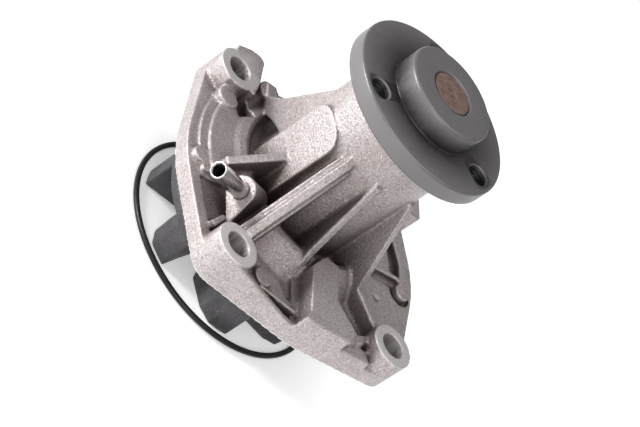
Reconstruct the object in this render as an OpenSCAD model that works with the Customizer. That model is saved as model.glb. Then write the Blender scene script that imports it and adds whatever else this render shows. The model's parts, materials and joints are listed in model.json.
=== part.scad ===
// Engine coolant pump: cast housing, hub flange, ball and roller shaft bearing, face seal and impeller.
// Millimetres. +Z runs along the shaft towards the drive hub; z = 0 is the flange's mounting face.

/* [Mounting flange] */
// Thickness of the flange plate
plate_t = 6; // [5:0.5:8]
// Radius of the round body of the flange plate
plate_r = 50; // [48:0.5:52]
// How far the round body of the plate lies below the shaft
plate_drop = 9; // [7:0.5:10]
// Half the distance between the bolt holes across the flange
bolt_x = 34.5; // [34:0.1:36]
// Height of the upper pair of bolt holes above the shaft
bolt_top = 29.9; // [29.5:0.1:31]
// Depth of the lower pair of bolt holes below the shaft
bolt_bottom = 47.1; // [46:0.1:48]
// Radius of the bolt holes
bolt_hole_r = 4.5; // [4:0.1:4.6]
// Radius of the round bolt bosses
boss_r = 8; // [7.5:0.1:8.5]
// Height of the machined boss tops above the mounting face
boss_top = 13.5; // [12:0.5:15]
// Radius of the spigot that locates the pump in the engine block
spigot_r = 38.8; // [38:0.1:39]
// Depth of the spigot below the mounting face
spigot_h = 6; // [5:0.5:7]

/* [Bearing barrel] */
// Outside radius of the barrel
barrel_r = 21.9; // [21:0.1:23]
// Height of the barrel's end face
barrel_top = 57; // [56:0.5:57.5]
// Outside radius of the shaft bearing
bearing_r = 15; // [14.9:0.05:15.1]
// Lower end of the shaft bearing
bearing_z = 17.5; // [16:0.5:18]
// Length of the shaft bearing
bearing_l = 38.5; // [38:0.5:39]

/* [Drive hub] */
// Outside radius of the hub disc
hub_r = 32; // [30:0.5:34]
// Thickness of the hub disc
hub_t = 6.5; // [6:0.1:7]
// Height of the hub's front face
hub_face = 65.5; // [65:0.1:66]
// Radius of the pilot boss that centres the pulley or fan
pilot_r = 17.45; // [17:0.05:18]
// Height of the pilot boss above the hub face
pilot_h = 8.3; // [7:0.1:9]
// Diameter of the circle through the three hub holes
hub_pcd = 51.6; // [50:0.1:53]
// Radius of the hub's threaded holes
hub_hole_r = 3.4; // [3.2:0.1:3.6]
// Angle of the first hub hole
hub_hole_angle = 80.2; // [0:0.1:120]

/* [Shaft] */
// Radius of the shaft in the bearing and the hub
shaft_r = 8; // [7.9:0.02:8.1]
// Radius of the shaft in the seal and the impeller
shaft_low_r = 6.35; // [6:0.05:6.5]
// Upper end of the shaft
shaft_top = 73.6; // [73:0.1:73.8]
// Lower end of the shaft
shaft_bottom = -29; // [-29.5:0.1:-28]

/* [Impeller] */
// Outside radius of the impeller
impeller_r = 36.2; // [35:0.1:37]
// Lowest point of the vanes
impeller_bottom = -30; // [-31:0.5:-29]
// Upper face of the impeller disc
impeller_top = -13.5; // [-14:0.1:-13]
// Thickness of the impeller disc
impeller_disc_t = 3.5; // [3:0.1:4]
// Number of vanes
vanes = 7; // [6:1:8]
// Angle of the first vane's tip
vane_angle = 170; // [0:1:360]

/* [Coolant nipple] */
// Outside radius of the steel tube
tube_r = 2.9; // [2.6:0.1:3.1]
// Radius of the tube's bore
tube_bore_r = 2.05; // [1.8:0.05:2.2]
// Free length of the tube outside its boss
tube_l = 19.5; // [15:0.5:22]
// Radius of the boss that holds the tube
tube_boss_r = 5.2; // [4.5:0.1:5.5]

/* [Sealing ring] */
// Mean radius of the O-ring
oring_r = 39.9; // [39.9:0.05:40]
// Radius of the O-ring's cord
oring_cord_r = 1; // [0.9:0.05:1]

/* [Hidden] */

$fn = 96;
eps = 0.01;

casting = [0.79, 0.76, 0.74];
black_steel = [0.30, 0.29, 0.30];
bright_steel = [0.72, 0.73, 0.75];
rust = [0.45, 0.31, 0.25];
grey_iron = [0.33, 0.33, 0.35];
black_rubber = [0.06, 0.06, 0.06];

upper_left = [-bolt_x, bolt_top];
upper_right = [bolt_x, bolt_top];
lower_left = [-bolt_x, -bolt_bottom];
lower_right = [bolt_x, -bolt_bottom];
bolts = [upper_left, upper_right, lower_left, lower_right];
plate_centre = [0, -plate_drop];

// Stepped cover over the coolant chamber, and the round wall that rises from it about the barrel
cover_centre = [0, -5];
cover_low_r = 46.3;
cover_low_top = plate_t + 1.6;
cover_high_r = 43.3;
cover_high_top = plate_t + 3.2;
collar_r = 29.6;
collar_top = 11.4;
chamber_r = 35.5;
chamber_top = 2.5;
seal_boss_r = 20.5;
terrace_top = plate_t + 3;
terrace_pad = [43.6, -17];
pocket_floor = 4;

// Bores along the shaft
seal_bore_r = 15.2;
seal_bore_top = 3.4;
web_bore_r = 9;
weep_chamber_r = 14;
weep_chamber_z = 10;
weep_chamber_top = 14.8;
weep_hole_r = 2.5;
weep_hole_angle = 100;

// Bearing raceways
fit_gap = 0.03;
race_r = 11.9;
ball_r = 2.5;
ball_pitch_r = 10;
ball_z = 45;
balls = 8;
roller_r = 2.2;
roller_pitch_r = shaft_r + roller_r + fit_gap;
roller_race_r = roller_pitch_r + roller_r + fit_gap;
roller_z = 27;
roller_l = 7.5;
rollers = 11;
bearing_top = bearing_z + bearing_l;
bearing_seal_t = 1.4;

// Face seal
seal_wall = 0.8;
carbon_top = -5.5;
carbon_bottom = -9.5;
film_gap = 0.05;

// Radial ribs: angle about the shaft, half thickness and outline as [radius, height]
rib_root = barrel_r - 2;
rib_floor = 3;

// Coolant nipple: foot of the tube and its direction
tube_foot = [-33.6, -23.6, 13];
tube_azimuth = -156.6;
tube_polar = 68;
tube_socket = 7;
socket_r = tube_r - 0.1;

// Polygon that joins two circles along their outer tangents
function belt(a, ra, b, rb) =
    let (turn = atan2(b.y - a.y, b.x - a.x),
         lean = acos((ra - rb) / norm(b - a)),
         up = [cos(turn + lean), sin(turn + lean)],
         down = [cos(turn - lean), sin(turn - lean)])
    [a + ra * up, b + rb * up, b + rb * down, a + ra * down];

// Outline of the flange: a round plate drawn out to the four bolt bosses
module flange_outline(grow = 0) {
    translate(plate_centre)
        circle(r = plate_r + grow, $fn = 120);
    for (p = bolts) {
        translate(p)
            circle(r = boss_r + grow);
        polygon(belt(plate_centre, plate_r + grow, p, boss_r + grow));
    }
}

// Band that follows the flange outline, between two distances inside it
module edge_band(from, to) {
    difference() {
        flange_outline(-from);
        flange_outline(-to);
    }
}

// Upright wall in a plane through the shaft axis, outline as [radius, height]
module rib(angle, thickness, outline, shift = 0) {
    rotate([0, 0, angle])
        translate([0, thickness / 2 + shift, 0])
            rotate([90, 0, 0])
                linear_extrude(thickness)
                    polygon(outline);
}

module at_nipple() {
    translate(tube_foot)
        rotate([0, tube_polar, tube_azimuth])
            children();
}

// Flange plate with its terraces and pockets, and the bosses and pads that stand on it
module flange() {
    difference() {
        union() {
            linear_extrude(plate_t)
                flange_outline();
            cover();
            right_terrace();
            flange_lip();
        }
        floor_pockets();
        terrace_pockets();
    }
    for (p = bolts)
        translate([p.x, p.y, 0])
            cylinder(r = boss_r, h = boss_top);
    // machined pad around the upper left bolt
    linear_extrude(boss_top)
        polygon([[-40.5, 24.5], [-39, 22.4], [-27.8, 22.4], [-25.5, 28.5], [-23.2, 40.4],
                 [-25, 42.4], [-29.5, 42.6], [-35, 40.8]]);
    // lug beside the upper right bolt
    linear_extrude(boss_top)
        polygon([[34, 17.5], [49.5, 17.2], [51, 18.7], [51, 28], [49, 30], [34, 36]]);
    // low rib between the nipple boss and the lower left boss
    linear_extrude(plate_t + 2)
        polygon([[-40.9, -37.5], [-39.2, -39], [-34.4, -33], [-36, -31.8]]);
    bottom_block();
    ejector_pads();
}

// Low floors between the ribs, the rim and the bosses
module floor_pockets() {
    translate([0, 0, pocket_floor])
        linear_extrude(9)
            intersection() {
                flange_outline(-4.4);
                union() {
                    // between the nipple and the lower left boss
                    polygon([[-60, -20.5], [-40, -18.6], [-30, -16], [-28, -40], [-60, -40]]);
                    // between the rib to the lower left boss and the bottom block
                    polygon([[-26, -33], [-19.5, -38.5], [-9.8, -42], [-6.4, -47.5],
                             [-4, -47.5], [-4, -20], [-20, -20]]);
                    // between the bottom block and the terrace
                    polygon([[8, -30], [8, -42], [16, -50], [25, -46], [29.5, -41.5],
                             [24, -33], [23, -27], [20, -20]]);
                }
            }
    // trough behind the lip
    translate([0, 0, plate_t - 3.3])
        linear_extrude(9)
            intersection() {
                edge_band(2.2, 5);
                translate([-30, -60])
                    square([25.4, 13]);
            }
}

// Sloping lip and ridge along the lower left edge
module flange_lip() {
    intersection() {
        linear_extrude(boss_top)
            edge_band(0, 2.2);
        translate([0, -50, 0])
            rotate([90, 0, 0])
                linear_extrude(14)
                    polygon([[-34, 0], [-34, 12.8], [-8, 7.2], [-4, 7.2], [-4, 0]]);
    }
    intersection() {
        linear_extrude(plate_t + 2)
            edge_band(5, 6.4);
        translate([-20, -60, 0])
            cube([15.4, 14, boss_top]);
    }
}

// Solid block at the bottom with its machined top, and the lower terrace beside it
module bottom_block() {
    intersection() {
        linear_extrude(boss_top)
            flange_outline();
        union() {
            linear_extrude(boss_top)
                polygon([[-6.6, -62], [-2.6, -54.5], [-1.6, -35], [1.4, -31], [4.5, -27.5],
                         [10.4, -28.5], [9.4, -43], [17.8, -52.4], [12, -62]]);
            linear_extrude(plate_t + 2.6)
                polygon([[8, -62], [8, -51], [19, -51.5], [27, -51], [30, -62]]);
        }
    }
    translate([17.4, -51, 0])
        cylinder(r = 3.2, h = plate_t + 4.2, $fn = 48);
    linear_extrude(plate_t + 3.6)
        polygon([[16.5, -54], [24.8, -50.3], [27.2, -45], [19.5, -48.6]]);
}

// Raised terrace on the right-hand side
module right_terrace() {
    intersection() {
        linear_extrude(terrace_top)
            flange_outline();
        linear_extrude(terrace_top)
            polygon([[22.9, -26.5], [24.2, -32.6], [30.5, -38.9], [60, -40], [60, 30],
                     [34, 30], [20, 0]]);
    }
}

// Pockets and marks in the terrace's top
module terrace_pockets() {
    // three-sided pocket behind the rim
    translate([0, 0, plate_t - 0.5])
        linear_extrude(8)
            polygon([[38.5, 0.4], [41.3, 6.7], [44.2, -3], [44.2, -9.2], [39.5, -9.6]]);
    // slot across the terrace
    translate([0, 0, plate_t + 0.4])
        linear_extrude(8)
            polygon([[31.4, -12.4], [44, -11], [42.6, -16.4], [29.7, -16.9]]);
    // groove about the round pad
    translate([terrace_pad.x, terrace_pad.y, plate_t + 1])
        cylinder(r = 4.5, h = 8, $fn = 48);
    translate([32.1, -25.5, terrace_top - 1])
        cylinder(r = 1.2, h = 4, $fn = 24);
}

// Round pads left by the ejector pins of the die
module ejector_pads() {
    pads = [[-45.4, -12.4, 3.2, plate_t + 2.2], [-36.3, 18, 4.2, plate_t + 4.4],
            [-18, -46.4, 3.6, plate_t + 1.8], [-19.6, 30.4, 4.4, plate_t + 6.4],
            [terrace_pad.x, terrace_pad.y, 3.1, terrace_top + 1.5]];
    for (p = pads)
        translate([p[0], p[1], 0])
            cylinder(r = p[2], h = p[3], $fn = 48);
}

// Stepped round cover, whose lower edge stops at the nipple and at the terrace
module cover() {
    intersection() {
        linear_extrude(cover_high_top)
            flange_outline(-2.2);
        linear_extrude(cover_high_top)
            polygon([[-60, -19.5], [-36, -17], [0, 6], [60, 6], [60, 60], [-60, 60]]);
        translate([cover_centre.x, cover_centre.y, 0]) {
            cylinder(r = cover_low_r, h = cover_low_top, $fn = 120);
            cylinder(r = cover_high_r, h = cover_high_top, $fn = 120);
        }
    }
}

// Rounded wall about the foot of the barrel, with a narrow valley between them
module collar() {
    inner_r = collar_r - 4.2;
    outer_r = collar_r + 8.6;
    rotate_extrude($fn = 90)
        polygon([[0, 0], [outer_r, 0], [outer_r, pocket_floor + 0.2],
                 [collar_r + 6.4, pocket_floor + 2.6], [collar_r + 4.2, collar_top - 2.4],
                 [collar_r + 2, collar_top - 0.7], [collar_r, collar_top],
                 [collar_r - 1.8, collar_top - 0.5], [collar_r - 3.2, collar_top - 2.2],
                 [inner_r, plate_t + 1], [inner_r - 1.4, plate_t], [0, plate_t]]);
}

// Flat machined land on the side of the barrel, rounded at its upper end
module barrel_land() {
    half_w = 9;
    corner = 6;
    land_top = 43;
    land_foot = 2;
    rotate([0, 0, -165])
        translate([barrel_r - 4, 0, 0])
            rotate([90, 0, 90])
                linear_extrude(4.9)
                    union() {
                        translate([-half_w, land_foot])
                            square([2 * half_w, land_top - corner - land_foot]);
                        translate([corner - half_w, land_foot])
                            square([2 * (half_w - corner), land_top - land_foot]);
                        for (side = [-1, 1])
                            translate([side * (half_w - corner), land_top - corner])
                                circle(r = corner);
                    }
}

module barrel_ribs() {
    web_x = barrel_r - 0.1;
    web_foot_y = 33;
    // long ribs to the lower bolt bosses
    rib(-127, 3, [[rib_root, rib_floor], [rib_root, 43.6], [barrel_r, 43.6], [50.5, boss_top],
                  [50.5, rib_floor]]);
    rib(-127, 6.4, [[rib_root, rib_floor], [rib_root, 40.4], [barrel_r, 40.4], [49, 11.2],
                    [49, rib_floor]], -0.4);
    rib(-54.3, 2.8, [[rib_root, rib_floor], [rib_root, 42.4], [23, 42.4], [36.6, 10.9],
                     [51, 10.3], [51, rib_floor]], 1.4);
    // steep rib that ends beside the bottom block
    translate([-2.7, 0, 0])
        rib(-90, 2.8, [[rib_root, rib_floor], [rib_root, 43.6], [22.6, 43.6], [26.9, 27.3],
                       [31, 13.8], [37.4, rib_floor], [40, rib_floor - 1], [rib_root, rib_floor - 1]]);
    // short fin to the nipple boss
    rib(-162, 3, [[rib_root, rib_floor], [rib_root, 22.4], [23.2, 22.4], [40, 11.6],
                  [40, rib_floor]]);
    // gusset to the upper right boss
    rib(42, 4, [[rib_root, rib_floor], [rib_root, 34], [barrel_r, 34], [40, boss_top],
                [40, rib_floor]]);
    // flat web to the upper left boss, almost tangent to the barrel, with an arch under it
    translate([-web_x, 0, 0])
        rotate([90, 0, 90])
            linear_extrude(4.2)
                polygon([[0, 18.6], [0, 54.5], [2.1, 54.5], [20.7, 20], [26.5, boss_top],
                         [web_foot_y, boss_top], [web_foot_y, rib_floor], [29.1, 5.3],
                         [24.6, 8.4], [20.6, 10.9], [14.5, 14.6], [8.8, 17.2], [4, 18.6]]);
}

// Boss that the coolant nipple is pressed into, drawn down to a point at the plate
module nipple_boss() {
    boss_back = 11;
    at_nipple()
        translate([0, 0, -boss_back]) {
            cylinder(r = tube_boss_r, h = boss_back);
            linear_extrude(boss_back)
                polygon(belt([0, 0], tube_boss_r, [7.6, 8.8], 0.4));
        }
}

module housing_bores() {
    for (p = bolts)
        translate([p.x, p.y, -eps])
            cylinder(r = bolt_hole_r, h = boss_top + 1);
    // coolant chamber around the seal boss, open towards the impeller
    translate([0, 0, -spigot_h - 1])
        difference() {
            cylinder(r = chamber_r, h = spigot_h + 1 + chamber_top);
            translate([0, 0, -1])
                cylinder(r = seal_boss_r, h = spigot_h + 3 + chamber_top);
        }
    translate([0, 0, -spigot_h - 1])
        cylinder(r = seal_bore_r, h = spigot_h + 1 + seal_bore_top);
    cylinder(r = web_bore_r, h = 20);
    translate([0, 0, weep_chamber_z])
        cylinder(r = weep_chamber_r, h = weep_chamber_top - weep_chamber_z);
    translate([0, 0, weep_chamber_top - eps])
        cylinder(r = bearing_r, h = barrel_top);
    rotate([0, 90, weep_hole_angle])
        translate([-weep_chamber_z - weep_hole_r, 0, web_bore_r])
            cylinder(r = weep_hole_r, h = 15, $fn = 32);
    // socket of the nipple and the drilling that feeds it
    at_nipple() {
        translate([0, 0, -tube_socket])
            cylinder(r = socket_r, h = tube_socket + 1);
        translate([0, 0, -tube_socket - 3])
            cylinder(r = tube_bore_r, h = 4);
    }
    translate([-26.2, -20.4, chamber_top - 1])
        cylinder(r = tube_bore_r, h = 6, $fn = 32);
}

module pump_housing() {
    color(casting)
        difference() {
            union() {
                flange();
                collar();
                translate([0, 0, -spigot_h])
                    cylinder(r = spigot_r, h = spigot_h + eps, $fn = 180);
                cylinder(r = barrel_r, h = barrel_top, $fn = 120);
                barrel_land();
                barrel_ribs();
                nipple_boss();
            }
            // slot between the upper left pad and the web
            translate([0, 0, plate_t - 1])
                linear_extrude(9)
                    polygon([[-33, 20], [-30.7, 13.6], [-25.4, 15.4], [-27.6, 22.3], [-30, 23.5]]);
            housing_bores();
        }
}

module coolant_nipple() {
    color(bright_steel)
        at_nipple()
            difference() {
                union() {
                    cylinder(r = tube_r, h = tube_l);
                    translate([0, 0, -tube_socket])
                        cylinder(r = socket_r, h = tube_socket + eps);
                }
                translate([0, 0, -tube_socket - 1])
                    cylinder(r = tube_bore_r, h = tube_socket + tube_l + 2);
                translate([0, 0, tube_l - 0.6])
                    cylinder(r1 = tube_bore_r, r2 = tube_bore_r + 0.45, h = 0.61);
            }
}

module drive_hub() {
    chamfer = 0.5;
    pilot_chamfer = 0.9;
    color(black_steel)
        difference() {
            rotate_extrude($fn = 180)
                polygon([[shaft_r, hub_face - hub_t], [hub_r - chamfer, hub_face - hub_t],
                         [hub_r, hub_face - hub_t + chamfer], [hub_r, hub_face - chamfer],
                         [hub_r - chamfer, hub_face], [pilot_r, hub_face],
                         [pilot_r, hub_face + pilot_h - pilot_chamfer],
                         [pilot_r - pilot_chamfer, hub_face + pilot_h],
                         [shaft_r + 0.5, hub_face + pilot_h],
                         [shaft_r, hub_face + pilot_h - 0.7]]);
            for (i = [0 : 2])
                rotate([0, 0, hub_hole_angle + 120 * i])
                    translate([hub_pcd / 2, 0, 0]) {
                        translate([0, 0, hub_face - hub_t - 1])
                            cylinder(r = hub_hole_r, h = hub_t + 2);
                        translate([0, 0, hub_face - chamfer])
                            cylinder(r1 = hub_hole_r, r2 = hub_hole_r + 2 * chamfer, h = 2 * chamfer);
                    }
        }
}

module pump_shaft() {
    step_z = 13;
    chamfer = 0.6;
    color(rust)
        difference() {
            rotate_extrude()
                polygon([[0, shaft_bottom], [shaft_low_r - chamfer, shaft_bottom],
                         [shaft_low_r, shaft_bottom + chamfer], [shaft_low_r, step_z],
                         [shaft_r, step_z + 1.65], [shaft_r, shaft_top - chamfer],
                         [shaft_r - chamfer, shaft_top], [0, shaft_top]]);
            // ball groove ground into the shaft
            translate([0, 0, ball_z])
                rotate_extrude()
                    translate([ball_pitch_r, 0])
                        circle(r = ball_r + fit_gap, $fn = 48);
            // lathe centre in the upper end
            translate([0, 0, shaft_top - 1.8])
                cylinder(r1 = 0.2, r2 = 2, h = 1.81, $fn = 48);
        }
}

module bearing_outer_ring() {
    color(bright_steel)
        difference() {
            translate([0, 0, bearing_z])
                cylinder(r = bearing_r, h = bearing_l);
            translate([0, 0, bearing_z - 1])
                cylinder(r = race_r, h = bearing_l + 2);
            translate([0, 0, ball_z])
                rotate_extrude()
                    translate([ball_pitch_r, 0])
                        circle(r = ball_r + fit_gap, $fn = 48);
            translate([0, 0, roller_z - roller_l / 2 - 0.6])
                cylinder(r = roller_race_r, h = roller_l + 1.2);
        }
}

module bearing_balls() {
    color(bright_steel)
        for (i = [0 : balls - 1])
            rotate([0, 0, 360 * i / balls])
                translate([ball_pitch_r, 0, ball_z])
                    sphere(r = ball_r, $fn = 48);
}

module ball_cage() {
    cage_h = 6.8;
    color([0.30, 0.32, 0.30])
        difference() {
            translate([0, 0, ball_z - cage_h / 2])
                difference() {
                    cylinder(r = 11.4, h = cage_h);
                    translate([0, 0, -1])
                        cylinder(r = 8.6, h = cage_h + 2);
                }
            for (i = [0 : balls - 1])
                rotate([0, 0, 360 * i / balls])
                    translate([ball_pitch_r, 0, ball_z])
                        sphere(r = ball_r + 0.1, $fn = 48);
        }
}

module bearing_rollers() {
    color(bright_steel)
        for (i = [0 : rollers - 1])
            rotate([0, 0, 360 * i / rollers])
                translate([roller_pitch_r, 0, roller_z - roller_l / 2])
                    cylinder(r = roller_r, h = roller_l, $fn = 48);
}

module roller_cage() {
    cage_h = roller_l + 2.4;
    color([0.30, 0.32, 0.30])
        difference() {
            translate([0, 0, roller_z - cage_h / 2])
                difference() {
                    cylinder(r = 11.6, h = cage_h);
                    translate([0, 0, -1])
                        cylinder(r = 8.9, h = cage_h + 2);
                }
            for (i = [0 : rollers - 1])
                rotate([0, 0, 360 * i / rollers])
                    translate([roller_pitch_r, 0, roller_z - roller_l / 2 - 0.1])
                        cylinder(r = roller_r + 0.1, h = roller_l + 0.2, $fn = 48);
        }
}

// Rubber-lipped ring that closes one end of the bearing
module bearing_seal(z) {
    color(black_rubber)
        translate([0, 0, z])
            difference() {
                cylinder(r = race_r, h = bearing_seal_t);
                translate([0, 0, -1])
                    cylinder(r = shaft_r + 0.06, h = bearing_seal_t + 2);
            }
}

module front_bearing_seal() {
    bearing_seal(bearing_top - bearing_seal_t - 0.4);
}

module rear_bearing_seal() {
    bearing_seal(bearing_z + 0.4);
}

// One vane seen along the shaft: round tip, nearly radial rear flank, swept front flank
module vane_outline(tip) {
    front = [[14, 46], [25, 36], [33, 21], [impeller_r + 1, 11]];
    rear = [[impeller_r + 1, 0], [26, 2], [14, 6]];
    intersection() {
        circle(r = impeller_r, $fn = 180);
        polygon([for (p = concat([[5, 30]], front, rear))
                 p[0] * [cos(tip - p[1]), sin(tip - p[1])]]);
    }
}

module impeller() {
    hub_boss_r = 14;
    color(grey_iron)
        difference() {
            union() {
                translate([0, 0, impeller_top - impeller_disc_t])
                    cylinder(r = impeller_r, h = impeller_disc_t, $fn = 180);
                translate([0, 0, impeller_bottom])
                    cylinder(r = hub_boss_r, h = impeller_top - impeller_bottom);
                translate([0, 0, impeller_bottom])
                    linear_extrude(impeller_top - impeller_bottom - 1)
                        for (i = [0 : vanes - 1])
                            vane_outline(vane_angle + 360 * i / vanes);
            }
            translate([0, 0, impeller_bottom - 1])
                cylinder(r = shaft_low_r, h = impeller_top - impeller_bottom + 2);
        }
}

// Pressed cup that carries the stationary half of the face seal
module seal_cup() {
    color([0.72, 0.60, 0.34])
        rotate_extrude()
            polygon([[seal_bore_r - seal_wall, -spigot_h - seal_wall],
                     [seal_bore_r + 2, -spigot_h - seal_wall], [seal_bore_r + 2, -spigot_h],
                     [seal_bore_r, -spigot_h], [seal_bore_r, seal_bore_top],
                     [web_bore_r, seal_bore_top], [web_bore_r, seal_bore_top - seal_wall],
                     [seal_bore_r - seal_wall, seal_bore_top - seal_wall]]);
}

module seal_bellows() {
    color(black_rubber)
        rotate_extrude()
            polygon([[7.2, seal_bore_top - seal_wall], [11, seal_bore_top - seal_wall],
                     [11, 1.2], [9.6, 0.6], [9.6, -2.2], [11, -3], [11, carbon_top + 1],
                     [7.2, carbon_top + 1], [7.2, -3], [8.2, -2], [8.2, 0.4], [7.2, 1.2]]);
}

// Steel ring between the spring and the back of the carbon ring
module spring_retainer() {
    color(bright_steel)
        rotate_extrude()
            polygon([[7.4, carbon_top], [13.8, carbon_top], [13.8, carbon_top + 2],
                     [13.2, carbon_top + 2], [13.2, carbon_top + 1], [7.4, carbon_top + 1]]);
}

// Round-wire compression spring, swept ring by ring along its helix
module seal_spring() {
    wire_r = 0.55;
    coil_r = 12.2;
    coil_low = carbon_top + 1 + wire_r;
    coil_high = seal_bore_top - seal_wall - wire_r;
    turns = 3;
    rings = 72;
    sides = 8;
    path = [for (i = [0 : rings])
            let (a = 360 * turns * i / rings)
            [coil_r * cos(a), coil_r * sin(a), coil_low + (coil_high - coil_low) * i / rings]];
    points = [for (i = [0 : rings], j = [0 : sides - 1])
              let (a = 360 * turns * i / rings, b = 360 * j / sides)
              path[i] + wire_r * [cos(b) * cos(a), cos(b) * sin(a), sin(b)]];
    skin = [for (i = [0 : rings - 1], j = [0 : sides - 1])
            let (k = (j + 1) % sides)
            [i * sides + j, (i + 1) * sides + j, (i + 1) * sides + k, i * sides + k]];
    ends = [[for (j = [0 : sides - 1]) j], [for (j = [sides - 1 : -1 : 0]) rings * sides + j]];
    color(bright_steel)
        polyhedron(points, concat(skin, ends), convexity = 10);
}

module carbon_ring() {
    color([0.13, 0.13, 0.14])
        rotate_extrude()
            polygon([[7.6, carbon_bottom], [9.8, carbon_bottom], [9.8, carbon_bottom + 1],
                     [11, carbon_bottom + 1], [11, carbon_top], [7.6, carbon_top]]);
}

module carbon_ring_holder() {
    color(bright_steel)
        rotate_extrude()
            polygon([[11, carbon_bottom + 1.4], [11.6, carbon_bottom + 1.4], [11.6, carbon_top],
                     [11, carbon_top]]);
}

module ceramic_ring() {
    color([0.93, 0.92, 0.88])
        rotate_extrude()
            polygon([[7.4, impeller_top + 1.2], [11.4, impeller_top + 1.2],
                     [11.4, carbon_bottom - film_gap], [7.4, carbon_bottom - film_gap]]);
}

module ceramic_ring_boot() {
    color(black_rubber)
        rotate_extrude()
            polygon([[shaft_low_r, impeller_top], [13, impeller_top],
                     [13, carbon_bottom - 1], [11.4, carbon_bottom - 1],
                     [11.4, impeller_top + 1.2], [7.4, impeller_top + 1.2],
                     [7.4, carbon_bottom - 0.4], [shaft_low_r, carbon_bottom - 0.4]]);
}

// O-ring, lying loose around the impeller
module o_ring() {
    color(black_rubber)
        translate([0, 0, impeller_bottom + oring_cord_r])
            rotate_extrude($fn = 180)
                translate([oring_r, 0])
                    circle(r = oring_cord_r, $fn = 32);
}

pump_housing();
coolant_nipple();
drive_hub();
pump_shaft();
bearing_outer_ring();
bearing_balls();
ball_cage();
bearing_rollers();
roller_cage();
front_bearing_seal();
rear_bearing_seal();
impeller();
seal_cup();
seal_bellows();
seal_spring();
spring_retainer();
carbon_ring();
carbon_ring_holder();
ceramic_ring();
ceramic_ring_boot();
o_ring();
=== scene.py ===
"""Looks of the engine coolant pump: cast housing, turned hub, iron impeller, seal and bearing."""

import json
import math

import bmesh
import bpy
import numpy as np
from mathutils import Matrix, Vector


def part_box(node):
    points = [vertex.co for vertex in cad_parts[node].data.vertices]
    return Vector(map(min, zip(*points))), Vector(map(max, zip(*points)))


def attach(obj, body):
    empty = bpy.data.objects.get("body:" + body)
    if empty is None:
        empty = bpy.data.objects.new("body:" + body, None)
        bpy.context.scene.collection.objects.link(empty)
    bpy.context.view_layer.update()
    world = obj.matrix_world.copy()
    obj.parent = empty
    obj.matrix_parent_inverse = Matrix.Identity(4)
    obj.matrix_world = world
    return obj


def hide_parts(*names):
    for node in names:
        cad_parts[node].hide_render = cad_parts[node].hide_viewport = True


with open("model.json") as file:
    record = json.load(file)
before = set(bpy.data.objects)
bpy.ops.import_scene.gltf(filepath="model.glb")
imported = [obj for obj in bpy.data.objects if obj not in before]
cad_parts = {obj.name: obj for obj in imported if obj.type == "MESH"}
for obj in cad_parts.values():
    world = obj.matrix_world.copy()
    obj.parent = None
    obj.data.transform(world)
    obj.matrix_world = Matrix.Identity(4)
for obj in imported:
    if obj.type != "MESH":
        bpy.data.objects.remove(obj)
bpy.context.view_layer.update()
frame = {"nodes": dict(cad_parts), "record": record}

MM = 0.001
NODES = frame["nodes"]
MOUNTS = {m["name"]: m for m in frame["record"]["mounts"]}
BODY_OF = {name: body for body, names in frame["record"]["behaviour"]["bodies"].items()
           for name in names}
SLOT_OF = {s["node"]: s["material_slot"] for s in frame["record"]["subparts"]}


# ---------------------------------------------------------------- dimensions, in millimetres

def low(node):
    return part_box(node)[0] / MM


def high(node):
    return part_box(node)[1] / MM


SHAFT_R = high("pump_shaft").x
SHAFT_TOP = high("pump_shaft").z
SHAFT_BOTTOM = low("pump_shaft").z
HUB_R = high("drive_hub").x
HUB_TOP = high("drive_hub").z
HUB_BACK = low("drive_hub").z
HUB_FACE = MOUNTS["hub_face"]["pos_m"][2] / MM
PILOT_R = MOUNTS["hub_pilot"]["dims"]["r_mm"]
HUB_HOLES = MOUNTS["hub_bolts"]["dims"]["count"]
HUB_HOLE_R = MOUNTS["hub_bolts"]["dims"]["hole_r_mm"]
HUB_HOLE_CIRCLE_R = MOUNTS["hub_bolts"]["dims"]["pcd_mm"] / 2
TUBE_R = MOUNTS["nipple_hose"]["dims"]["r_mm"]
TUBE_L = MOUNTS["nipple_hose"]["dims"]["length_mm"]
TUBE_FOOT = Vector(MOUNTS["nipple_hose"]["pos_m"])
TUBE_AXIS = Vector(MOUNTS["nipple_hose"]["axis"])
BOSS_TOP = MOUNTS["flange_bolts"]["pos_m"][2] / MM
BOLT_CENTRE_Y = MOUNTS["flange_bolts"]["pos_m"][1] / MM
BOLT_HALF_X = MOUNTS["flange_bolts"]["dims"]["spacing_x_mm"] / 2
BOLT_HALF_Y = MOUNTS["flange_bolts"]["dims"]["spacing_y_mm"] / 2
BOLT_HOLE_R = MOUNTS["flange_bolts"]["dims"]["hole_r_mm"]
BARREL_TOP = high("pump_housing").z
FLOOR_Z = low("impeller").z

# sizes that the frame doesn't hold, equal to those of the CAD part
SHAFT_LOW_R = 6.35
SHAFT_STEP_BOTTOM, SHAFT_STEP_TOP = 13, 14.65
HUB_HOLE_ANGLE = 80.2
TUBE_BORE_R = 2.05
TUBE_SOCKET_R, TUBE_SOCKET_L = TUBE_R - 0.1, 7.0
BOSS_R = 8.0
BEARING_R = 15.0

# thread in the hub's holes, which the CAD part leaves plain
THREAD_DEPTH, THREAD_PITCH = 0.55, 1.25


# ---------------------------------------------------------------- shader building

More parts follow.
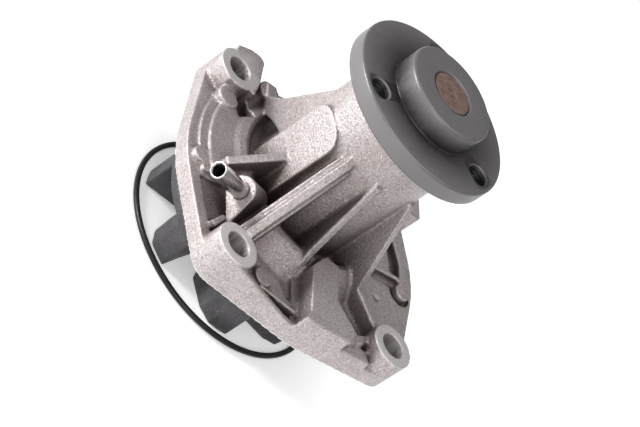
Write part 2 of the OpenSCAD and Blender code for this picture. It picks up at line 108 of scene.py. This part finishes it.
class Shader:
    """A material being built: nodes are made by kind, and joined through their sockets."""

    def __init__(self, name, base=(0.5, 0.5, 0.5), roughness=0.5, metallic=0.0, **sockets):
        self.material = bpy.data.materials.new(name)
        self.material.use_nodes = True
        self.tree = self.material.node_tree
        self.surface = self.tree.nodes["Principled BSDF"]
        self.surface.inputs["Base Color"].default_value = (*base, 1)
        self.surface.inputs["Roughness"].default_value = roughness
        self.surface.inputs["Metallic"].default_value = metallic
        for socket, value in sockets.items():
            self.surface.inputs[socket.replace("_", " ")].default_value = value
        self.place = self.node("ShaderNodeTexCoord").outputs["Object"]

    def node(self, kind, inputs=None, **settings):
        made = self.tree.nodes.new(kind)
        for key, value in settings.items():
            setattr(made, key, value)
        for key, value in (inputs or {}).items():
            self.feed(made.inputs[key], value)
        return made

    def feed(self, socket, value):
        if isinstance(value, bpy.types.NodeSocket):
            self.tree.links.new(value, socket)
        elif socket.type == "RGBA":
            socket.default_value = (*value, 1)
        else:
            socket.default_value = value

    def noise(self, size_mm, detail=4.0, roughness=0.55, at=None, distortion=0.0):
        """Fractal noise whose largest features are about size_mm."""
        return self.node("ShaderNodeTexNoise", {
            "Vector": at or self.place, "Scale": 1 / (size_mm * MM), "Detail": detail,
            "Roughness": roughness, "Distortion": distortion}).outputs["Fac"]

    def math(self, kind, a, b=0.0):
        return self.node("ShaderNodeMath", {0: a, 1: b}, operation=kind).outputs[0]

    def spread(self, value, low_in, high_in, low_out=0.0, high_out=1.0):
        """value mapped from one range to another, and held inside it."""
        return self.node("ShaderNodeMapRange", {
            "Value": value, "From Min": low_in, "From Max": high_in,
            "To Min": low_out, "To Max": high_out}).outputs["Result"]

    def mix(self, share, a, b):
        """Colour a where share is 0 and b where it is 1."""
        made = self.node("ShaderNodeMix", data_type="RGBA")
        self.feed(made.inputs["Factor"], share)
        self.feed(made.inputs["A"], a)
        self.feed(made.inputs["B"], b)
        return made.outputs["Result"]

    def attribute(self, name, strength=1.0):
        """A value that the mesh carries at its points, held back to the given strength."""
        value = self.node("ShaderNodeAttribute", attribute_name=name).outputs["Fac"]
        return self.math("MULTIPLY", value, strength)

    def turned_rings(self, size_mm, detail):
        """Noise that changes only with the distance from the shaft's axis, like a lathe's marks."""
        x, y, _ = self.node("ShaderNodeSeparateXYZ", {0: self.place}).outputs
        squares = self.math("ADD", self.math("MULTIPLY", x, x), self.math("MULTIPLY", y, y))
        radius = self.math("SQRT", squares)
        at = self.node("ShaderNodeCombineXYZ", {0: radius}).outputs[0]
        return self.noise(size_mm, detail, at=at)

    def bump(self, *layers):
        """Layers of (height socket, depth in mm), stacked from coarse to fine."""
        normal = None
        for height, depth_mm in layers:
            made = self.node("ShaderNodeBump", {
                "Height": height, "Strength": 1.0, "Distance": depth_mm * MM})
            if normal:
                self.feed(made.inputs["Normal"], normal)
            normal = made.outputs["Normal"]
        self.feed(self.surface.inputs["Normal"], normal)

    def set(self, socket, value):
        self.feed(self.surface.inputs[socket], value)


def cast_aluminium():
    """Blasted die casting: warm grey with a sparkling grain, painted brown-grey shade in its
    corners and hollows, and painted highlights on its edges.
    """
    s = Shader("cast_aluminium", metallic=0.75)
    grain = s.noise(0.48, 2, 0.7)
    grit = s.noise(0.85, 3, 0.6)
    patches = s.noise(14, 4)
    blotches = s.noise(4, 4, 0.6)
    colour = s.mix(s.spread(patches, 0.38, 0.64), (0.45, 0.395, 0.39), (0.53, 0.485, 0.49))
    colour = s.mix(s.spread(blotches, 0.48, 0.72, 0, 0.4), colour, (0.60, 0.56, 0.55))
    colour = s.mix(s.spread(grit, 0.36, 0.52, 0.6, 0), colour, (0.26, 0.22, 0.21))
    colour = s.mix(s.spread(grain, 0.56, 0.68, 0, 0.7), colour, (0.90, 0.88, 0.87))
    # painted shade: darker and browner where the part's own shape shelters a point, read from an
    # occlusion node
    own_occlusion = s.node("ShaderNodeAmbientOcclusion", {"Distance": 14 * MM},
                     only_local=True, samples=6)
    hollow_shade = s.spread(own_occlusion.outputs["AO"], 0.30, 0.88, 0.92, 0)
    colour = s.mix(hollow_shade, colour, (0.085, 0.059, 0.052))
    # painted shade: dark brown in corners and creases, and inside the bolt holes
    colour = s.mix(s.attribute("corner", 0.8), colour, (0.085, 0.062, 0.055))
    # painted highlight: lighter along the outer edges
    colour = s.mix(s.attribute("edge", 0.65), colour, (0.82, 0.79, 0.78))
    colour = s.mix(s.attribute("cut", 0.6), colour, (0.80, 0.775, 0.77))
    s.set("Base Color", colour)
    rough = s.spread(grain, 0.40, 0.60, 0.58, 0.36)
    s.set("Roughness", s.math("ADD", rough, s.attribute("cut", 0.06)))
    s.bump((s.noise(2.4, 4), 0.12), (grit, 0.24), (grain, 0.17))
    return s.material


def black_oxide():
    """Turned steel with a worn black oxide coat: fine rings, scuffs, painted highlights on its
    edges and painted shade inside its threaded holes.
    """
    s = Shader("black_steel", metallic=0.35)
    rings = s.turned_rings(0.35, 2)
    clouds = s.noise(8, 5)
    scuffs = s.noise(3.2, 8, 0.74, distortion=1.6)
    specks = s.noise(0.6, 2)
    colour = s.mix(s.spread(clouds, 0.35, 0.7), (0.021, 0.0175, 0.018), (0.039, 0.033, 0.035))
    colour = s.mix(s.spread(rings, 0.5, 0.8, 0, 0.25), colour, (0.075, 0.071, 0.074))
    colour = s.mix(s.spread(scuffs, 0.55, 0.70, 0, 0.55), colour, (0.11, 0.102, 0.104))
    colour = s.mix(s.spread(specks, 0.70, 0.76, 0, 0.5), colour, (0.30, 0.29, 0.29))
    # painted highlight: lighter along the outer edges
    colour = s.mix(s.attribute("edge", 0.55), colour, (0.30, 0.29, 0.295))
    # painted shade: near-black inside the threaded holes
    colour = s.mix(s.attribute("hole", 0.9), colour, (0.006, 0.006, 0.006))
    s.set("Base Color", colour)
    s.set("Roughness", s.spread(scuffs, 0.4, 0.65, 0.32, 0.52))
    s.bump((s.noise(5, 3), 0.06), (rings, 0.015), (s.noise(0.5, 4), 0.04))
    return s.material


def rusted_steel():
    """Ground steel that has browned in store, with rings left by the facing tool."""
    s = Shader("rusted_steel", metallic=0.3)
    rings = s.turned_rings(0.8, 3)
    rust = s.noise(2.6, 6, 0.68)
    colour = s.mix(s.spread(rust, 0.35, 0.65), (0.135, 0.085, 0.072), (0.245, 0.155, 0.125))
    colour = s.mix(s.spread(rings, 0.45, 0.75, 0, 0.45), colour, (0.30, 0.215, 0.185))
    colour = s.mix(s.attribute("edge", 0.8), colour, (0.05, 0.04, 0.038))
    s.set("Base Color", colour)
    s.set("Roughness", s.spread(rust, 0.3, 0.7, 0.42, 0.62))
    s.bump((rings, 0.05), (s.noise(0.4, 5), 0.03))
    return s.material


def sand_cast_iron():
    """Dark grey iron with the pits and grains of its sand mould."""
    s = Shader("grey_iron", metallic=0.45)
    grain = s.noise(0.5, 3, 0.65)
    clouds = s.noise(6, 4)
    colour = s.mix(s.spread(clouds, 0.35, 0.7), (0.055, 0.053, 0.057), (0.095, 0.091, 0.096))
    colour = s.mix(s.spread(grain, 0.52, 0.70, 0, 0.6), colour, (0.22, 0.215, 0.22))
    # painted highlight: lighter along the outer edges
    colour = s.mix(s.attribute("edge", 0.5), colour, (0.20, 0.19, 0.195))
    s.set("Base Color", colour)
    s.set("Roughness", s.spread(grain, 0.3, 0.7, 0.45, 0.68))
    s.bump((s.noise(1.8, 4), 0.14), (grain, 0.22))
    return s.material


def plated_steel():
    """Drawn and plated tube or wire: smooth, bright, a little hazy."""
    s = Shader("plated_steel", metallic=1.0)
    haze = s.noise(5, 3)
    s.set("Base Color", s.mix(s.spread(haze, 0.35, 0.7), (0.50, 0.49, 0.49), (0.62, 0.61, 0.61)))
    s.set("Roughness", s.spread(haze, 0.3, 0.7, 0.20, 0.30))
    s.bump((s.noise(0.6, 3), 0.006))
    return s.material


def polished_steel(name, base, roughness):
    """Ground or polished steel with a faint haze."""
    s = Shader(name, metallic=1.0)
    haze = s.noise(3, 4)
    darker = tuple(0.8 * c for c in base)
    s.set("Base Color", s.mix(s.spread(haze, 0.3, 0.7), darker, base))
    s.set("Roughness", s.spread(haze, 0.3, 0.7, roughness, roughness + 0.1))
    s.bump((s.noise(0.25, 2), 0.002))
    return s.material


def rubber(name, base, roughness):
    """Moulded rubber with a slightly bloomed skin."""
    s = Shader(name, Specular_IOR_Level=0.35)
    skin = s.noise(1.5, 5)
    lighter = tuple(2.2 * c for c in base)
    s.set("Base Color", s.mix(s.spread(skin, 0.4, 0.75, 0, 0.6), base, lighter))
    s.set("Roughness", s.spread(skin, 0.3, 0.7, roughness, roughness + 0.15))
    s.bump((s.noise(0.3, 3), 0.008))
    return s.material


def moulded_plastic():
    """Dark green polyamide of the bearing's cages."""
    s = Shader("cage_plastic")
    skin = s.noise(2, 4)
    s.set("Base Color", s.mix(s.spread(skin, 0.35, 0.7), (0.045, 0.07, 0.05), (0.07, 0.10, 0.075)))
    s.set("Roughness", s.spread(skin, 0.3, 0.7, 0.4, 0.55))
    s.bump((s.noise(0.5, 3), 0.01))
    return s.material


def pressed_brass():
    """Drawn brass, tarnished in clouds."""
    s = Shader("seal_brass", metallic=1.0)
    tarnish = s.noise(3, 5)
    s.set("Base Color", s.mix(s.spread(tarnish, 0.35, 0.7), (0.35, 0.24, 0.10), (0.62, 0.47, 0.22)))
    s.set("Roughness", s.spread(tarnish, 0.3, 0.7, 0.25, 0.45))
    s.bump((s.noise(0.6, 4), 0.006))
    return s.material


def lapped(name, base, roughness):
    """A lapped seal face or its body: matt, with fine flecks."""
    s = Shader(name)
    fleck = s.noise(0.6, 5)
    darker = tuple(0.75 * c for c in base)
    s.set("Base Color", s.mix(s.spread(fleck, 0.4, 0.7), darker, base))
    s.set("Roughness", s.spread(fleck, 0.3, 0.7, roughness, roughness + 0.12))
    s.bump((s.noise(0.4, 3), 0.003))
    return s.material


MATERIALS = {
    "cast_aluminium": cast_aluminium(),
    "plated_steel": plated_steel(),
    "black_steel": black_oxide(),
    "rusted_steel": rusted_steel(),
    "bearing_steel": polished_steel("bearing_steel", (0.50, 0.50, 0.51), 0.25),
    "polished_steel": polished_steel("polished_steel", (0.72, 0.72, 0.73), 0.08),
    "cage_plastic": moulded_plastic(),
    "black_rubber": rubber("black_rubber", (0.014, 0.014, 0.014), 0.45),
    "o_ring_rubber": rubber("o_ring_rubber", (0.008, 0.008, 0.009), 0.32),
    "grey_iron": sand_cast_iron(),
    "seal_brass": pressed_brass(),
    "carbon": lapped("carbon", (0.03, 0.03, 0.032), 0.3),
    "ceramic": lapped("ceramic", (0.80, 0.78, 0.72), 0.15),
}


# ---------------------------------------------------------------- mesh building

def placed(name, data):
    """A new object of the scene that shows the data."""
    made = bpy.data.objects.new(name, data)
    bpy.context.scene.collection.objects.link(made)
    return made


def dress(mesh, node):
    """Gives a mesh the material of the CAD node's slot."""
    mesh.materials.clear()
    mesh.materials.append(MATERIALS[SLOT_OF[node]])


def shown(name, mesh, node, smooth_angle=None):
    """Puts a mesh in the scene as the piece that stands for a CAD node. Edges that turn by more
    than the smooth angle, in degrees, stay sharp."""
    piece = placed(name, mesh)
    dress(mesh, node)
    mesh.shade_smooth()
    if smooth_angle is not None:
        mesh.set_sharp_from_angle(angle=math.radians(smooth_angle))
    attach(piece, BODY_OF[node])
    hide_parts(node)
    return piece


def read_vectors(collection, key):
    flat = np.zeros(len(collection) * 3, np.float32)
    collection.foreach_get(key, flat)
    return flat.reshape(-1, 3).astype(float)


def read_points(mesh):
    return read_vectors(mesh.vertices, "co")


def write_points(mesh, points):
    mesh.vertices.foreach_set("co", points.astype(np.float32).ravel())
    mesh.update()


def write_attribute(mesh, name, values):
    """Keeps a value from 0 to 1 at each point, for the materials."""
    made = mesh.attributes.new(name, "FLOAT", "POINT")
    made.data.foreach_set("value", np.clip(values, 0, 1).astype(np.float32))


def evaluated_mesh(piece):
    """A new mesh with the piece's modifiers applied, and the piece removed."""
    graph = bpy.context.evaluated_depsgraph_get()
    mesh = bpy.data.meshes.new_from_object(piece.evaluated_get(graph))
    bpy.data.objects.remove(piece)
    return mesh


def remeshed(mesh, voxel_mm):
    piece = placed("scratch", mesh)
    remesh = piece.modifiers.new("remesh", "REMESH")
    remesh.mode = "VOXEL"
    remesh.voxel_size = voxel_mm * MM
    return evaluated_mesh(piece)


def smoothed_points(mesh, rounds, weights):
    """The mesh's points after a number of smoothing rounds, each held back to its weight."""
    piece = placed("scratch", mesh.copy())
    smooth = piece.modifiers.new("smooth", "SMOOTH")
    smooth.factor = 0.5
    smooth.iterations = rounds
    made = evaluated_mesh(piece)
    points = read_points(made)
    bpy.data.meshes.remove(made)
    start = read_points(mesh)
    return start + (points - start) * weights[:, None]


def thinned(mesh, faces):
    """The mesh brought down to about this many triangles."""
    count = sum(len(p.vertices) - 2 for p in mesh.polygons)
    if count <= faces:
        return mesh
    piece = placed("scratch", mesh)
    thin = piece.modifiers.new("thin", "DECIMATE")
    thin.ratio = faces / count
    return evaluated_mesh(piece)


def like_a_casting(node, voxel_mm, edge_rounds, corner_rounds, is_cut, faces, is_dark=None):
    """A CAD node's mesh with rounded edges and filled corners, but with its machined faces kept.
    is_cut gives, for points in millimetres, 1 on the machined faces and 0 on the cast skin, and
    is_dark gives 1 where the colour gets painted shade as dark as in a deep corner."""
    mesh = remeshed(NODES[node].data.copy(), voxel_mm)
    start = read_points(mesh)
    cut = is_cut(start / MM)
    edges = smoothed_points(mesh, edge_rounds, 1 - 0.8 * cut)
    corners = smoothed_points(mesh, corner_rounds, 1 - cut)
    normals = read_vectors(mesh.vertex_normals, "vector")
    # how far the long smoothing moves each point: out in a corner, and in at an edge
    outward = ((corners - start) * normals).sum(1) / MM
    share = np.clip(outward / 0.25, 0, 1)[:, None]
    write_points(mesh, edges * (1 - share) + corners * share)
    # corner carries painted shade for corners, creases and the places is_dark gives; edge carries
    # painted highlights along outer edges
    dark = is_dark(start / MM) if is_dark else np.zeros(len(start))
    write_attribute(mesh, "corner", np.maximum((outward - 0.03) / 0.55, dark))
    write_attribute(mesh, "edge", (-outward - 0.12) / 0.8)
    write_attribute(mesh, "cut", cut * (1 - dark))
    return thinned(mesh, faces)


def filleted(corners, steps=6):
    """A closed outline of (r, z) from its corners, each given as (r, z, radius of its rounding)."""
    made = []
    places = [Vector(corner[:2]) for corner in corners]
    for i, (*_, radius) in enumerate(corners):
        before, here, after = places[i - 1], places[i], places[(i + 1) % len(places)]
        if radius <= 0:
            made.append(here)
            continue
        u, v = (before - here).normalized(), (after - here).normalized()
        angle = u.angle(v)
        reach = min(radius / math.tan(angle / 2),
                    0.49 * (before - here).length, 0.49 * (after - here).length)
        radius = reach * math.tan(angle / 2)
        centre = here + (u + v).normalized() * (radius / math.sin(angle / 2))
        first, last = here + u * reach - centre, here + v * reach - centre
        side = Vector((-first.y, first.x))
        side = side if side.dot(last) > 0 else -side
        for k in range(steps + 1):
            turn = (math.pi - angle) * (k / steps)
            spoke = first.normalized() * math.cos(turn) + side.normalized() * math.sin(turn)
            made.append(centre + spoke * radius)
    return made


def lathe(profile, segments=192, closed=True):
    """A mesh made by turning an outline of (r, z), in millimetres, about the Z axis. An outline
    that isn't closed has both of its ends on the axis."""
    count = len(profile)
    points = []
    for i in range(segments):
        turn = math.tau * i / segments
        points += [(r * math.cos(turn) * MM, r * math.sin(turn) * MM, z * MM) for r, z in profile]
    faces = []
    for i in range(segments):
        here, there = i * count, (i + 1) % segments * count
        for k in range(count if closed else count - 1):
            after = (k + 1) % count
            faces.append((here + k, there + k, there + after, here + after))
    mesh = bpy.data.meshes.new("turned")
    mesh.from_pydata(points, [], faces)
    tidy = bmesh.new()
    tidy.from_mesh(mesh)
    bmesh.ops.remove_doubles(tidy, verts=tidy.verts, dist=1e-7)
    bmesh.ops.dissolve_degenerate(tidy, edges=tidy.edges, dist=1e-7)
    bmesh.ops.recalc_face_normals(tidy, faces=tidy.faces)
    tidy.to_mesh(mesh)
    tidy.free()
    return mesh


def threaded_cutter(core_r, bottom, top):
    """A closed solid with a screw thread on its side, about its own Z axis, in millimetres. It
    flares by 45 degrees near its top, which cuts the chamfer of the hole."""
    around, rows_per_turn = 48, 8
    flare = 1.0
    rows = int((top - bottom) / THREAD_PITCH * rows_per_turn)
    points = []
    for j in range(rows + 1):
        z = bottom + (top - bottom) * j / rows
        for i in range(around):
            phase = (z / THREAD_PITCH - i / around) % 1
            tooth = THREAD_DEPTH * (1 - abs(2 * phase - 1))
            r = max(core_r + tooth, core_r + THREAD_DEPTH - (top - flare - z))
            turn = math.tau * i / around
            points.append((r * math.cos(turn) * MM, r * math.sin(turn) * MM, z * MM))
    faces = [(j * around + i, j * around + (i + 1) % around,
              (j + 1) * around + (i + 1) % around, (j + 1) * around + i)
             for j in range(rows) for i in range(around)]
    faces.append(tuple(range(around))[::-1])
    faces.append(tuple(range(rows * around, (rows + 1) * around)))
    mesh = bpy.data.meshes.new("cutter")
    mesh.from_pydata(points, [], faces)
    return mesh


def cut_away(mesh, cutters):
    """The mesh with the space of all cutters taken out of it."""
    piece = placed("scratch", mesh)
    tools = []
    for cutter in cutters:
        tool = placed("scratch", cutter)
        tools.append(tool)
        cut = piece.modifiers.new("cut", "BOOLEAN")
        cut.object = tool
        cut.operation = "DIFFERENCE"
        cut.solver = "EXACT"
    made = evaluated_mesh(piece)
    for tool in tools:
        bpy.data.objects.remove(tool)
    return made


def near(value, target, reach):
    """1 up to half of reach from the target, falling to 0 at reach."""
    return np.clip(1 - (np.abs(value - target) - 0.5 * reach) / (0.5 * reach), 0, 1)


# ---------------------------------------------------------------- housing

def bolt_distance(x, y):
    """Distance from the axis of the nearest bolt hole, in millimetres."""
    return np.hypot(np.abs(x) - BOLT_HALF_X, np.abs(y - BOLT_CENTRE_Y) - BOLT_HALF_Y)


def housing_cut(p):
    """Machined faces of the housing: joint face, boss tops, bores, barrel end and spigot."""
    x, y, z = p.T
    to_bolt = bolt_distance(x, y)
    boss_tops = np.where(to_bolt < BOSS_R + 0.4, near(z, BOSS_TOP, 0.7), 0)
    barrel_end = near(z, BARREL_TOP, 0.7)
    joint_face_and_spigot = np.clip((0.6 - z) / 0.3, 0, 1)
    bolt_holes = np.clip((BOLT_HOLE_R + 0.7 - to_bolt) / 0.4, 0, 1)
    bearing_bore = np.clip((BEARING_R + 1 - np.hypot(x, y)) / 0.5, 0, 1)
    return np.maximum.reduce(
        [boss_tops, barrel_end, joint_face_and_spigot, bolt_holes, bearing_bore])


def housing_dark(p):
    """Places that the light hardly reaches: inside the bolt holes."""
    x, y, z = p.T
    inside = np.clip((BOLT_HOLE_R + 0.35 - bolt_distance(x, y)) / 0.2, 0, 1)
    return inside * np.clip((BOSS_TOP - 0.5 - z) / 1.2, 0, 1)


def make_housing():
    mesh = like_a_casting("pump_housing", voxel_mm=0.42, edge_rounds=4, corner_rounds=40,
                          is_cut=housing_cut, faces=190000, is_dark=housing_dark)
    return shown("housing_casting", mesh, "pump_housing")


# ---------------------------------------------------------------- hub, shaft, nipple and O-ring

def mark_edges(mesh, least_turn=0.12):
    """Notes, for the materials, the points on outer edges that turn by more than least_turn."""
    shape = bmesh.new()
    shape.from_mesh(mesh)
    values = np.zeros(len(shape.verts))
    for edge in shape.edges:
        if len(edge.link_faces) == 2 and edge.is_convex and edge.calc_face_angle(0) > least_turn:
            for vert in edge.verts:
                values[vert.index] = 1
    shape.free()
    write_attribute(mesh, "edge", values)


def hub_hole_places():
    """The axes of the hub's threaded holes, in millimetres."""
    turns = [math.radians(HUB_HOLE_ANGLE + 360 / HUB_HOLES * i) for i in range(HUB_HOLES)]
    return [Vector((math.cos(turn), math.sin(turn), 0)) * HUB_HOLE_CIRCLE_R for turn in turns]


def make_hub():
    """The turned hub with its pilot and threaded holes."""
    corners = [(SHAFT_R, HUB_BACK, 0.3), (HUB_R, HUB_BACK, 0.8), (HUB_R, HUB_FACE, 0.8),
               (PILOT_R, HUB_FACE, 0.5), (PILOT_R, HUB_TOP, 1.0), (SHAFT_R, HUB_TOP, 0.8)]
    mesh = lathe(filleted(corners), 256)
    mark_edges(mesh)
    cutters = []
    for place in hub_hole_places():
        cutter = threaded_cutter(HUB_HOLE_R, HUB_BACK - 1, HUB_FACE + 0.6)
        cutter.transform(Matrix.Translation(place * MM))
        cutters.append(cutter)
    mesh = cut_away(mesh, cutters)
    x, y, z = (read_points(mesh) / MM).T
    # painted shade: the walls of the threaded holes below the face, which the material paints
    # near-black
    hole = np.zeros(len(x))
    for place in hub_hole_places():
        off = np.hypot(x - place.x, y - place.y)
        depth = np.clip((HUB_FACE - 0.3 - z) / 0.8, 0, 1)
        hole = np.maximum(hole, np.where(off < HUB_HOLE_R + THREAD_DEPTH + 0.03, depth, 0))
    write_attribute(mesh, "hole", hole)
    return shown("hub_flange", mesh, "drive_hub", smooth_angle=35)


def make_shaft():
    """The shaft with its rounded ends, lathe centres and ball groove."""
    ball_z = (low("bearing_balls").z + high("bearing_balls").z) / 2
    ball_r = (high("bearing_balls").z - low("bearing_balls").z) / 2
    ball_pitch_r = high("bearing_balls").x - ball_r
    gap = 0.02
    reach = math.sqrt(ball_r ** 2 - (ball_pitch_r - SHAFT_R) ** 2)
    groove = []
    for share in np.linspace(-1, 1, 9):
        z = reach * float(share)
        groove.append((ball_pitch_r - math.sqrt(max(ball_r ** 2 - z ** 2, 0)) - gap, ball_z + z, 0))
    lower_end = [(0.0, SHAFT_BOTTOM + 2.0, 0), (1.6, SHAFT_BOTTOM, 0.2),
                 (SHAFT_LOW_R, SHAFT_BOTTOM, 0.6), (SHAFT_LOW_R, SHAFT_STEP_BOTTOM, 0.3),
                 (SHAFT_R, SHAFT_STEP_TOP, 0.3)]
    upper_end = [(SHAFT_R, SHAFT_TOP, 0.7), (2.1, SHAFT_TOP, 0.2), (1.7, SHAFT_TOP - 0.45, 0.1),
                 (1.1, SHAFT_TOP - 0.45, 0.1), (0.0, SHAFT_TOP - 1.7, 0)]
    mesh = lathe(filleted(lower_end + groove + upper_end), 128, closed=False)
    x, y, z = (read_points(mesh) / MM).T
    at_rim = (z > SHAFT_TOP - 1.2) & (np.hypot(x, y) > SHAFT_R - 0.5)
    write_attribute(mesh, "edge", np.where(at_rim, 1.0, 0.0))
    return shown("turned_shaft", mesh, "pump_shaft", smooth_angle=35)


def make_nipple():
    """The bleed tube, with a rounded lip and a narrower stretch inside its boss."""
    corners = [(TUBE_BORE_R, -TUBE_SOCKET_L, 0.1), (TUBE_SOCKET_R, -TUBE_SOCKET_L, 0.2),
               (TUBE_SOCKET_R, 0, 0), (TUBE_R, 0, 0.05), (TUBE_R, TUBE_L, 0.3),
               (TUBE_BORE_R + 0.3, TUBE_L, 0.25), (TUBE_BORE_R, TUBE_L - 0.5, 0.2)]
    mesh = lathe(filleted(corners), 96)
    turn = Vector((0, 0, 1)).rotation_difference(TUBE_AXIS).to_matrix().to_4x4()
    mesh.transform(Matrix.Translation(TUBE_FOOT) @ turn)
    return shown("bleed_tube", mesh, "coolant_nipple", smooth_angle=40)


def make_o_ring():
    """The sealing ring, a plain torus."""
    lo, hi = low("o_ring"), high("o_ring")
    cord_r = (hi.z - lo.z) / 2
    mean_r = hi.x - cord_r
    mid_z = (hi.z + lo.z) / 2
    turns = [math.tau * i / 32 for i in range(32)]
    outline = [(mean_r + cord_r * math.cos(t), mid_z + cord_r * math.sin(t)) for t in turns]
    return shown("sealing_ring", lathe(outline, 256), "o_ring")


# ---------------------------------------------------------------- impeller and plain CAD nodes

def impeller_cut(p):
    """Machined faces of the impeller: the end of its hub and its bore."""
    x, y, _ = p.T
    return np.clip((14.5 - np.hypot(x, y)) / 0.6, 0, 1)


def make_impeller():
    mesh = like_a_casting("impeller", voxel_mm=0.45, edge_rounds=7, corner_rounds=40,
                          is_cut=impeller_cut, faces=150000)
    return shown("impeller_casting", mesh, "impeller")


def dress_cad_nodes():
    """Every CAD node that still shows gets its own slot's material."""
    for name, node in NODES.items():
        if not node.hide_render:
            dress(node.data, name)


# ---------------------------------------------------------------- stage, light and camera

CAMERA_PLACE = Vector((-477.13, -620.82, 469.20)) * MM
CAMERA_RIGHT = Vector((0.69879, -0.01428, 0.71518))
CAMERA_UP = Vector((-0.47779, 0.73475, 0.48151))
CAMERA_BACK = Vector((-0.53235, -0.67818, 0.50662))
CAMERA_LENS = 156.9
# the lights stand round a point a little above the mounting face
LIT_POINT = Vector((0, 0, 0.02))


def from_camera(right, up, back):
    """A direction in the row frame, from its parts right, up and back in the camera's view."""
    return (CAMERA_RIGHT * right + CAMERA_UP * up + CAMERA_BACK * back).normalized()


def make_camera():
    data = bpy.data.cameras.new("camera")
    data.sensor_width = 36
    data.lens = CAMERA_LENS
    data.clip_end = 10
    camera = placed("camera", data)
    turn = Matrix((CAMERA_RIGHT, CAMERA_UP, CAMERA_BACK)).transposed()
    camera.matrix_world = Matrix.Translation(CAMERA_PLACE) @ turn.to_4x4()
    bpy.context.scene.camera = camera


def make_light(name, direction, power, size, distance=0.9):
    """A square area light that shines on the pump from a direction."""
    data = bpy.data.lights.new(name, "AREA")
    data.energy = power
    data.size = size
    light = placed(name, data)
    light.location = LIT_POINT + direction * distance
    light.rotation_euler = direction.to_track_quat("Z", "Y").to_euler()


def make_floor():
    """A white table top just below the impeller's foot."""
    half, gap = 3.0, 0.0001
    z = FLOOR_Z * MM - gap
    mesh = bpy.data.meshes.new("floor")
    mesh.from_pydata([(-half, -half, z), (half, -half, z), (half, half, z), (-half, half, z)],
                     [], [(0, 1, 2, 3)])
    piece = placed("floor", mesh)
    s = Shader("floor", base=(0.97, 0.97, 0.97), roughness=0.9, Emission_Strength=0.35)
    mesh.materials.append(s.material)


def make_world():
    world = bpy.data.worlds.new("studio")
    bpy.context.scene.world = world
    world.use_nodes = True
    background = world.node_tree.nodes["Background"]
    background.inputs["Color"].default_value = (1, 1, 1, 1)
    background.inputs["Strength"].default_value = 0.2


make_camera()
make_world()
make_floor()
make_light("key", from_camera(right=-0.5, up=0.75, back=0.45), power=8.0, size=0.22)
make_light("top", Vector((0.15, -0.1, 1)).normalized(), power=7.0, size=1.2, distance=1.1)
make_light("side", from_camera(right=-0.9, up=0.1, back=0.35), power=1.0, size=0.5)
make_light("front", from_camera(right=0.1, up=-0.3, back=1.0), power=3.0, size=0.5)
make_housing()
make_hub()
make_shaft()
make_nipple()
make_impeller()
make_o_ring()
dress_cad_nodes()
bpy.context.scene.view_settings.view_transform = "Standard"
